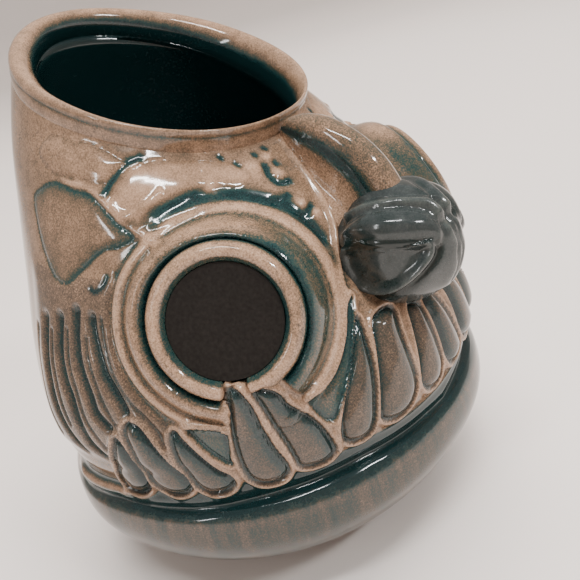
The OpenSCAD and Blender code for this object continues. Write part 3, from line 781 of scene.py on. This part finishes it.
# the shell's tone -1.6 lies below every pool outside: teal glaze darkened as painted shade of the well
MADE["cup_wall"] = closed_patch("glazed_cup_wall", SHAPE, NORMAL, QUADS[region == 0], PATCH_DEPTH, TONE,
                                (shell.reshape(-1, 3), shell_faces, np.full(shell.shape[0] * 120, -1.6)))
print("cup wall triangles:", len(MADE["cup_wall"].data.polygons))

# %% [markdown]
# The rim is a rolled coil that closes the mouth of the cup. It is a lathe section swept
# round the tipped top ring. Glaze runs off its crest, which fires pale, and thin dark
# lines stay in the shallow groove that a finger left below it.

# %% Rim coil
rim_turn = np.arange(360)
top_ring = skin(rim_turn, np.full(360, 115.0))
across = skin(rim_turn + 0.5, 115.0) - skin(rim_turn - 0.5, 115.0)
n_top = np.cross(across, skin(rim_turn, 115.0) - skin(rim_turn, 114.0))
n_top /= np.linalg.norm(n_top, axis=-1, keepdims=True)
axis = np.array([0, -0.47, 1.0]) / math.hypot(0.47, 1)
# RIM rows hold offset along the normal, offset along the axis and tone; the rows that curl into the cup
# fall to tone -1.6, the teal glaze darkened as painted shade like the cup's inside
RIM = [(0.0, -0.1, 0.38), (0.06, 0.8, 0.42), (0.1, 1.7, 0.42), (0.12, 2.4, 0.3), (0.05, 2.9, 0.0),
       (0.0, 3.15, -0.28), (0.04, 3.45, 0.05),
       (0.1, 3.9, 0.35), (0.0, 4.6, 0.42), (-0.35, 5.25, 0.46), (-1.0, 5.8, 0.55), (-1.9, 6.12, 0.6),
       (-2.9, 6.05, 0.6), (-3.8, 5.65, 0.5),
       (-4.6, 4.95, 0.1), (-5.1, 4.0, -0.7), (-5.4, 3.0, -1.3), (-5.5, 1.6, -1.6), (-5.5, -1.0, -1.6),
       (-4.6, -2.0, -1.6), (-1.0, -2.0, -1.2),
       (-0.6, -1.0, -0.4)]
rim = np.array([top_ring + n_top * o + axis * u for o, u, t in RIM])
rim_tone = np.repeat(np.array([t for o, u, t in RIM])[:, None], 360, 1)
MADE["rim_coil"] = mesh_object("glazed_rim_coil", rim, loft_faces(len(RIM), 360, True), tone=rim_tone)
print("rim coil sections:", len(RIM))

# %% [markdown]
# The ring round each matte disc is rolled by itself and is cut away where a tooth runs
# up over it. It is a section swept about the eye's line of sight, and it thins out at
# both of its ends.

# %% Eye rings
RING = [(11.45, -4.2, -0.9), (11.5, -2.6, -0.75), (11.7, -1.7, -0.5), (12.05, -1.1, -0.42),
        (12.35, -0.7, -0.35), (12.6, -0.42, 0.35),
        (13.0, -0.16, 0.72), (13.7, 0.0, 0.8), (14.4, -0.2, 0.72), (14.9, -0.6, 0.62), (15.3, -1.2, 0.45),
        (15.6, -1.95, -0.2),
        (15.8, -2.8, -0.9), (15.9, -3.8, -1.0), (15.7, -4.8, -1.0), (12.6, -4.8, -1.2)]
RING_FOOT = -4.8
RING_CREST = 13.7
ring_turn = np.radians(np.linspace(-76, 265, 320))


def eye_point(a, b, h, side):
    p = EYE + a[..., None] * EAR + b[..., None] * BROW + h[..., None] * LOOK
    return p * np.array([side, 1, 1])


end_ease = ease((np.degrees(ring_turn) + 77) / 4) * ease((266 - np.degrees(ring_turn)) / 4)
for side, suffix in ((-1, "_left"), (1, "_right")):
    radius = np.array([r for r, h, t in RING])[:, None]
    height = np.array([h for r, h, t in RING])[:, None]
    height = RING_FOOT + (height - RING_FOOT) * (0.35 + 0.65 * end_ease)
    slim = ease((np.degrees(ring_turn) - 247) / 6)
    radius = np.where(radius > RING_CREST, radius - (radius - RING_CREST) * 0.45 * slim, radius)
    radius = RING_CREST + (radius - RING_CREST) * (0.6 + 0.4 * end_ease)
    p = eye_point(radius * np.cos(ring_turn), radius * np.sin(ring_turn), height, side)
    # painted shade: the ring's tone is lowered round 185 degrees, on its nose side
    t = np.array([t for r, h, t in RING])[:,
                                          None] - 0.28 * np.exp(-((np.degrees(ring_turn) - 185) / 45) ** 2)
    faces = []
    m, n = p.shape[:2]
    for j in range(m):
        k = (j + 1) % m
        for i in range(n - 1):
            quad = [j * n + i, k * n + i, k * n + i + 1, j * n + i + 1]
            faces.append(quad if side > 0 else quad[::-1])
    ends = [[j * n for j in range(m)][::-1], [j * n + n - 1 for j in range(m)]]
    faces += ends if side > 0 else [e[::-1] for e in ends]
    MADE["eye_ring" + suffix] = mesh_object("glazed_eye_ring" + suffix, p, faces, tone=t)
print("eye rings:", m, "by", n)

# %% [markdown]
# The lure's stalk is a fin that rises from the brow and bows down to the bulb. It is a
# loft: one cross-section, narrow and round on top and flared at its foot, is carried
# along the curve of the crest, and its foot is sunk into the head.

# %% Lure stalk
CREST = [(-30.5, 102.3), (-32.2, 103.0), (-36, 103.3), (-41.5, 102), (-48, 98.2), (-53, 93), (-56.2, 87.0),
         (-57.5, 82)]
crest = smooth_line(CREST, False, 10)
count = len(crest)
share = np.linspace(0, 1, count)
foot_height = 113.6 - 27 * share
foot = body(np.zeros(count), foot_height)
foot_angle = np.interp(foot_height, [86, 90.6, 102.6, 110.9, 113.3], [10.6, 9.3, 5.7, 3.0, 1.2])
SECTION = [(1.0, 0, -0.3, 0.6), (1.0, 0, 0.0, 0.8), (0.9, 0, 0.015, 0.7), (0.74, 0.1, 0.06, 0.6),
           (0.54, 0.32, 0.15, 0.6),
           (0.34, 0.62, 0.29, 0.56), (0.17, 0.88, 0.44, 0.25), (0.07, 0.99, 0.54, -0.8),
           (0.03, 1.0, 0.60, -1.15), (0, 1.0, 0.655, -1.0),
           (0, 1.0, 0.71, -0.4), (0, 0.98, 0.77, -0.05), (0, 0.92, 0.84, 0.12), (0, 0.78, 0.91, 0.14),
           (0, 0.56, 0.965, 0.14), (0, 0.3, 0.99, 0.12),
           (0, 0, 1.0, 0.1)]
SECTION_ALL = SECTION + [(-f, -c, v, t) for f, c, v, t in SECTION[-2::-1]]
crest_half = 1.0 + 2.3 * ease(share / 0.4) + 0.5 * share
stalk_rows = []
for (y, z), f, edge_angle, level_z, w in zip(crest, foot, foot_angle, foot_height, crest_half):
    top = np.array([0, y, z])
    edge_point = body(np.array([edge_angle]), np.array([level_z]))[0]
    row = []
    for f_share, c_share, v, t in SECTION_ALL:
        on_line = f + (top - f) * v
        sideways = f_share * edge_point[0] + c_share * w
        drop = abs(f_share) ** 2 * (edge_point[1] - f[1]) * (1 - v)
        row.append(on_line + np.array([sideways, drop, 0]))
    stalk_rows.append(row)
tones_all = [t for f_share, c_share, v, t in SECTION_ALL]
stalk = np.array(stalk_rows)
m, n = stalk.shape[:2]
fine_rows = loft_faces(m, n)
stalk_faces = [list(q) for q in fine_rows] + [list(range(n)), list(range((m - 1) * n, m * n))[::-1]]
stalk_tone = np.repeat(np.array(tones_all)[None, :], m, 0)
MADE["lure_stalk"] = mesh_object("glazed_lure_stalk", stalk, stalk_faces, tone=stalk_tone)
print("stalk sections:", m)

# %% [markdown]
# The bulb on the end of the stalk is carved like a small sleepy eye on each side: a
# flat slate lens under a heavy lid. A ball made from the six faces of a cube has no
# poles, so the carving stays even all over. The carving is again a matter of distance
# to lines, given here as longitude and latitude. The lens's points, and the lid's lower
# edge that follows them, came out of another program and were then moved by hand.

# %% Lure bulb
BULB = np.array([0, -53.4, 73.9])
BULB_R = 13.6
steps = 56
uv = np.tan(np.linspace(-math.pi / 4, math.pi / 4, steps + 1))
U, V = np.meshgrid(uv, uv)
one = np.ones(U.shape)
cube = [(one, U, V), (-one, -U, V), (-U, one, V), (U, -one, V), (-V, U, one), (V, U, -one)]
ball = np.concatenate([np.stack(f, -1).reshape(-1, 3) for f in cube])
ball /= np.linalg.norm(ball, axis=1, keepdims=True)
side_faces = []
for k in range(6):
    base = k * (steps + 1) ** 2
    for j in range(steps):
        for i in range(steps):
            q = base + j * (steps + 1) + i
            side_faces.append([q, q + 1, q + steps + 2, q + steps + 1])
keys, first, back_to = np.unique(np.round(ball, 6), axis=0, return_index=True, return_inverse=True)
ball = ball[first]
side_faces = back_to.reshape(-1)[np.array(side_faces)]


def direction(lon, lat):
    lon, lat = np.radians(lon), np.radians(lat)
    return np.stack([np.sin(lon) * np.cos(lat), -np.cos(lon) * np.cos(lat), np.sin(lat)], -1)


LENS = [(118, 10), (104, 20), (95, 21), (75, 20.5), (57, 19), (42, 16.5), (33, 13), (34, 5), (45, -4.6),
        (57, -13.4), (70, -21.4),
        (85, -25), (104, -24), (115, -12.3)]
LID = [(124, 22), (115, 24), (95, 26.5), (75, 25.5), (57, 23.5), (42, 20.5), (29, 15), (24, 9), (17, 16),
       (18, 28), (24, 39), (45, 48), (75, 51), (103, 46), (121, 33)]
lon = np.degrees(np.arctan2(np.abs(ball[:, 0]), -ball[:, 1]))
lat = np.degrees(np.arcsin(np.clip(ball[:, 2], -1, 1)))
folded = ball * np.array([0, 1, 1]) + np.abs(ball) * np.array([1, 0, 0])


def ball_distance(points, closed=True):
    line = smooth_line(points, closed)
    path = direction(line[:, 0], line[:, 1]) * BULB_R
    spots = folded * BULB_R
    best = np.full(len(spots), 99.0)
    for a, b in zip(path[:-1], path[1:]):
        ab = b - a
        t = np.clip((spots - a) @ ab / max(ab @ ab, 1e-9), 0, 1)
        best = np.minimum(best, np.linalg.norm(spots - a - t[:, None] * ab, axis=1))
    if not closed:
        return best
    inside = np.zeros(len(spots), bool)
    for (x0, y0), (x1, y1) in zip(line[:-1], line[1:]):
        if y0 != y1:
            inside ^= ((y0 > lat) != (y1 > lat)) & (lon < (x1 - x0) * (lat - y0) / (y1 - y0) + x0)
    return np.where(inside, -best, best)


lens, lid = ball_distance(LENS), ball_distance(LID)
crack = ball_distance([(0, 46), (2, 30), (3.5, 15), (2, 3), (5, -6), (3, -20), (6, -34)], False)
brow_ridge = ball_distance([(130, 42), (105, 54), (75, 58), (42, 56), (16, 46), (10, 34)], False)
swell = -1.25 * (1 - np.exp(np.minimum(lens, 0) / 1.2)) * (lens < 0)
swell = swell + 0.9 * bump(lens, 1.0) * (lat < 16) + np.where(lid < 0, 1.35 * (1 - np.exp(lid / 1.6)), 0)
swell = swell - 0.9 * bump(lens - 2.1, 0.8) * (lid > 0.4) * (lat < 14)
swell = swell - 0.5 * bump(crack, 0.5) + 0.9 * bump(crack, 3.2)
swell = swell + 0.7 * bump(brow_ridge, 1.1) - 0.6 * bump(brow_ridge - 2.4, 1.1) * (lid > 0.5)
bulb_tone = np.full(len(ball), -0.55)
bulb_tone = mix(bulb_tone, -0.30, bump(lens, 0.9) * (lat < 16))
bulb_tone = mix(bulb_tone, -1.15, bump(lens - 2.1, 1.0) * (lat < 14))
bulb_tone = mix(bulb_tone, -0.62, (lens < -0.6) * 1.0)
bulb_tone = mix(bulb_tone, -1.2, bump(np.abs(lens) - 0.2, 0.8) * (lat > 15))
bulb_tone = mix(bulb_tone, -0.28, bump(brow_ridge, 1.0))
bulb_tone = mix(bulb_tone, -0.15, 0.8 * bump(crack - 1.0, 0.9) * (lat < 40))
bulb_points = BULB + ball * (BULB_R + swell)[:, None]
corner = bulb_points[side_faces]
face_n = np.cross(corner[:, 2] - corner[:, 0], corner[:, 3] - corner[:, 1])
bulb_normal = np.zeros(bulb_points.shape)
for k in range(4):
    np.add.at(bulb_normal, side_faces[:, k], face_n)
bulb_normal /= np.linalg.norm(bulb_normal, axis=1, keepdims=True)
if ((bulb_normal * ball).sum(1) < 0).mean() > 0.5:
    side_faces, bulb_normal = side_faces[:, ::-1], -bulb_normal
mean_lens = lens[side_faces].mean(1)
mean_lid = lid[side_faces].mean(1)
mean_x = ball[side_faces, 0].mean(1)
which = np.where(mean_lens < 0.3, 1, np.where(mean_lid < 0.3, 2, 0))
MADE["lure_bulb"] = closed_patch("glazed_lure_bulb", bulb_points, bulb_normal,
                                 side_faces[which == 0], PATCH_DEPTH, bulb_tone)
for code, name in ((1, "lure_lens"), (2, "lure_lid")):
    for suffix, chosen in (("_left", mean_x < 0), ("_right", mean_x >= 0)):
        squares = side_faces[(which == code) & chosen]
        MADE[name + suffix] = closed_patch("glazed_" + name + suffix, bulb_points, bulb_normal,
                                           squares, PATCH_DEPTH, bulb_tone)
print("bulb squares:", len(side_faces))

# %% [markdown]
# All glossy pieces share one recipe, so they share one way of building a material. Tone
# from the shape is stirred with noise at two scales: soft clouds and fine specks. A
# ramp turns it into colour, from teal pools through an olive fringe and brown to tan.
# The jaw, teeth and gills use a browner ramp, and the lure a grey slate one.
# Each piece of the recipe can lean a little warmer, darker or more speckled.

# %% Reactive glaze
STOPS = [(0.00, (0.004, 0.017, 0.018)), (0.14, (0.009, 0.034, 0.035)), (0.27, (0.022, 0.045, 0.038)),
         (0.36, (0.056, 0.052, 0.036)),
         (0.48, (0.118, 0.078, 0.050)), (0.60, (0.205, 0.128, 0.080)), (0.76, (0.355, 0.222, 0.142)),
         (0.92, (0.47, 0.315, 0.210))]
UMBER = [(0.00, (0.005, 0.018, 0.019)), (0.10, (0.010, 0.030, 0.030)), (0.20, (0.026, 0.036, 0.030)),
         (0.30, (0.048, 0.040, 0.030)),
         (0.44, (0.082, 0.058, 0.041)), (0.60, (0.150, 0.098, 0.066)), (0.76, (0.320, 0.205, 0.134)),
         (0.92, (0.47, 0.315, 0.210))]
SLATE = [(0.00, (0.004, 0.010, 0.009)), (0.12, (0.014, 0.022, 0.021)), (0.24, (0.030, 0.036, 0.036)),
         (0.34, (0.050, 0.060, 0.056)),
         (0.46, (0.090, 0.092, 0.082)), (0.58, (0.150, 0.125, 0.100)), (0.76, (0.260, 0.195, 0.145)),
         (0.92, (0.36, 0.27, 0.20))]


def glaze(name, lift=0.0, stops=STOPS, specks=0.5, streaks=0.0, gain=1.0, rough=0.09):
    mat, nt, shader = new_material(name)
    nodes, links = nt.nodes, nt.links
    tone_in = nodes.new("ShaderNodeAttribute")
    tone_in.attribute_name = "tone"
    place = nodes.new("ShaderNodeTexCoord")
    stretch = nodes.new("ShaderNodeMapping")
    stretch.inputs["Scale"].default_value = (1, 1, 1 - 0.93 * streaks)
    links.new(place.outputs["Object"], stretch.inputs[0])

    def noise_at(scale, detail, roughness=0.6, vector=place.outputs["Object"]):
        tex = nodes.new("ShaderNodeTexNoise")
        tex.inputs["Scale"].default_value = scale
        tex.inputs["Detail"].default_value = detail
        tex.inputs["Roughness"].default_value = roughness
        links.new(vector, tex.inputs["Vector"])
        return tex.outputs["Fac"]

    def add(value, factor, shift):
        step = nodes.new("ShaderNodeMath")
        step.operation = "MULTIPLY_ADD"
        links.new(value, step.inputs[0])
        step.inputs[1].default_value = factor
        if isinstance(shift, float):
            step.inputs[2].default_value = shift
        else:
            links.new(shift, step.inputs[2])
        return step.outputs[0]

    base = add(tone_in.outputs["Fac"], 0.42 * gain, 0.44 + lift)
    cloud = add(noise_at(110, 3, 0.55, stretch.outputs[0]), 0.30, base)
    cloud = add(noise_at(420, 2, 0.6, stretch.outputs[0]), 0.26 + 0.3 * streaks, cloud)
    speck = add(noise_at(2700, 2, 0.8), 1.25 * specks, cloud)
    level_down = add(speck, 1.0, -0.15 - 0.13 - 0.15 * streaks - 0.625 * specks)
    ramp = nodes.new("ShaderNodeValToRGB")
    while len(ramp.color_ramp.elements) < len(stops):
        ramp.color_ramp.elements.new(0.5)
    for element, (position, colour) in zip(ramp.color_ramp.elements, stops):
        element.position = position
        element.color = colour + (1,)
    links.new(level_down, ramp.inputs[0])
    # dark iron specks, gathered in soft patches by a coarser noise
    spots = nodes.new("ShaderNodeMapRange")
    spots.inputs["From Min"].default_value = 0.60
    spots.inputs["From Max"].default_value = 0.70
    links.new(noise_at(1250, 1, 0.4), spots.inputs["Value"])
    patch = nodes.new("ShaderNodeMapRange")
    patch.inputs["From Min"].default_value = 0.46
    patch.inputs["From Max"].default_value = 0.66
    patch.inputs["To Max"].default_value = 0.75 * specks
    links.new(noise_at(60, 2), patch.inputs["Value"])
    amount = nodes.new("ShaderNodeMath")
    amount.operation = "MULTIPLY"
    links.new(spots.outputs[0], amount.inputs[0])
    links.new(patch.outputs[0], amount.inputs[1])
    specked = nodes.new("ShaderNodeMix")
    specked.data_type = "RGBA"
    links.new(amount.outputs[0], specked.inputs[0])
    links.new(ramp.outputs[0], specked.inputs[6])
    specked.inputs[7].default_value = (0.03, 0.035, 0.035, 1)
    links.new(specked.outputs[2], shader.inputs["Base Color"])
    wavy = nodes.new("ShaderNodeBump")
    wavy.inputs["Strength"].default_value = 0.045
    wavy.inputs["Distance"].default_value = 0.001
    links.new(noise_at(160, 2), wavy.inputs["Height"])
    links.new(wavy.outputs[0], shader.inputs["Normal"])
    dull = add(noise_at(420, 2), 0.06, rough - 0.03)
    links.new(dull, shader.inputs["Roughness"])
    shader.inputs["IOR"].default_value = 1.52
    return mat


FINISH = {
    "cup_wall": ("cup_glaze", glaze("cup_glaze", 0.0, specks=0.55)),
    "rim_coil": ("rim_glaze", glaze("rim_glaze", 0.0, specks=0.6)),
    "lower_jaw": ("jaw_glaze", glaze("jaw_glaze", -0.15, stops=UMBER, specks=0.8, streaks=1.0, rough=0.10)),
    "upper_lip": ("lip_glaze", glaze("lip_glaze", -0.04, specks=0.5)),
    "eye": ("eye_glaze", glaze("eye_glaze", 0.0, specks=0.75)),
    "lure": ("lure_glaze", glaze("lure_glaze", -0.02, stops=SLATE, specks=0.3, rough=0.14)),
    "lure_stalk": ("stalk_glaze", glaze("stalk_glaze", 0.0, specks=0.8)),
    "tooth": ("tooth_glaze", glaze("tooth_glaze", -0.09, stops=UMBER, specks=0.8)),
    "panel": ("panel_glaze", glaze("panel_glaze", -0.03, specks=0.7)),
    "gill_cover": ("gill_glaze", glaze("gill_glaze", -0.05, stops=UMBER, specks=0.8)),
    "fin": ("fin_glaze", glaze("fin_glaze", 0.02, specks=0.6)),
    "forehead": ("brow_glaze", glaze("brow_glaze", 0.02, specks=0.5))}


def finish_of(name):
    if name in FINISH:
        return FINISH[name]
    for start_word, key in (("eye_", "eye"), ("lure_", "lure"), ("tooth_", "tooth"), ("cheek", "panel"),
                            ("snout", "panel"),
                            ("gill", "gill_cover"), ("fin", "fin"), ("dorsal", "fin"),
                            ("forehead", "forehead")):
        if name.startswith(start_word):
            return FINISH[key]
    return FINISH["cup_wall"]


for name, piece in MADE.items():
    slot, mat = finish_of(name)
    piece.data.materials.clear()
    piece.data.materials.append(mat)
    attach(piece, "root")
    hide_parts(name)
print("glazed", len(MADE), "pieces")

# %% [markdown]
# The discs of the eyes and the foot are bare clay: the potter waxed them, so no glaze
# stuck. Bare clay is matt, with fine grit that shows as a soft grain. The plain discs of
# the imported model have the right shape, so they stay and only get this finish.

# %% Bare clay
def clay(name, dark, light, rough):
    mat, nt, shader = new_material(name)
    place = nt.nodes.new("ShaderNodeTexCoord")
    grit = nt.nodes.new("ShaderNodeTexNoise")
    grit.inputs["Scale"].default_value = 1400
    grit.inputs["Detail"].default_value = 3
    nt.links.new(place.outputs["Object"], grit.inputs["Vector"])
    shade = nt.nodes.new("ShaderNodeValToRGB")
    shade.color_ramp.elements[0].position, shade.color_ramp.elements[1].position = 0.3, 0.75
    shade.color_ramp.elements[0].color = dark + (1,)
    shade.color_ramp.elements[1].color = light + (1,)
    nt.links.new(grit.outputs["Fac"], shade.inputs[0])
    nt.links.new(shade.outputs[0], shader.inputs["Base Color"])
    grain = nt.nodes.new("ShaderNodeBump")
    grain.inputs["Strength"].default_value = 0.25
    grain.inputs["Distance"].default_value = 0.0003
    nt.links.new(grit.outputs["Fac"], grain.inputs["Height"])
    nt.links.new(grain.outputs[0], shader.inputs["Normal"])
    shader.inputs["Roughness"].default_value = rough
    shader.inputs["Specular IOR Level"].default_value = 0.12
    return mat


disc_clay = clay("eye_disc_clay", (0.009, 0.0075, 0.0065), (0.017, 0.0145, 0.0125), 0.55)
foot_clay = clay("foot_clay", (0.10, 0.08, 0.065), (0.17, 0.14, 0.11), 0.85)
for node_name, mat in (("pupil_left", disc_clay), ("pupil_right", disc_clay), ("foot_pad", foot_clay)):
    for held in bpy.data.objects:
        if held.type == "MESH" and held.name == node_name:
            held.data.materials.clear()
            held.data.materials.append(mat)
print("bare clay: two discs and the foot")
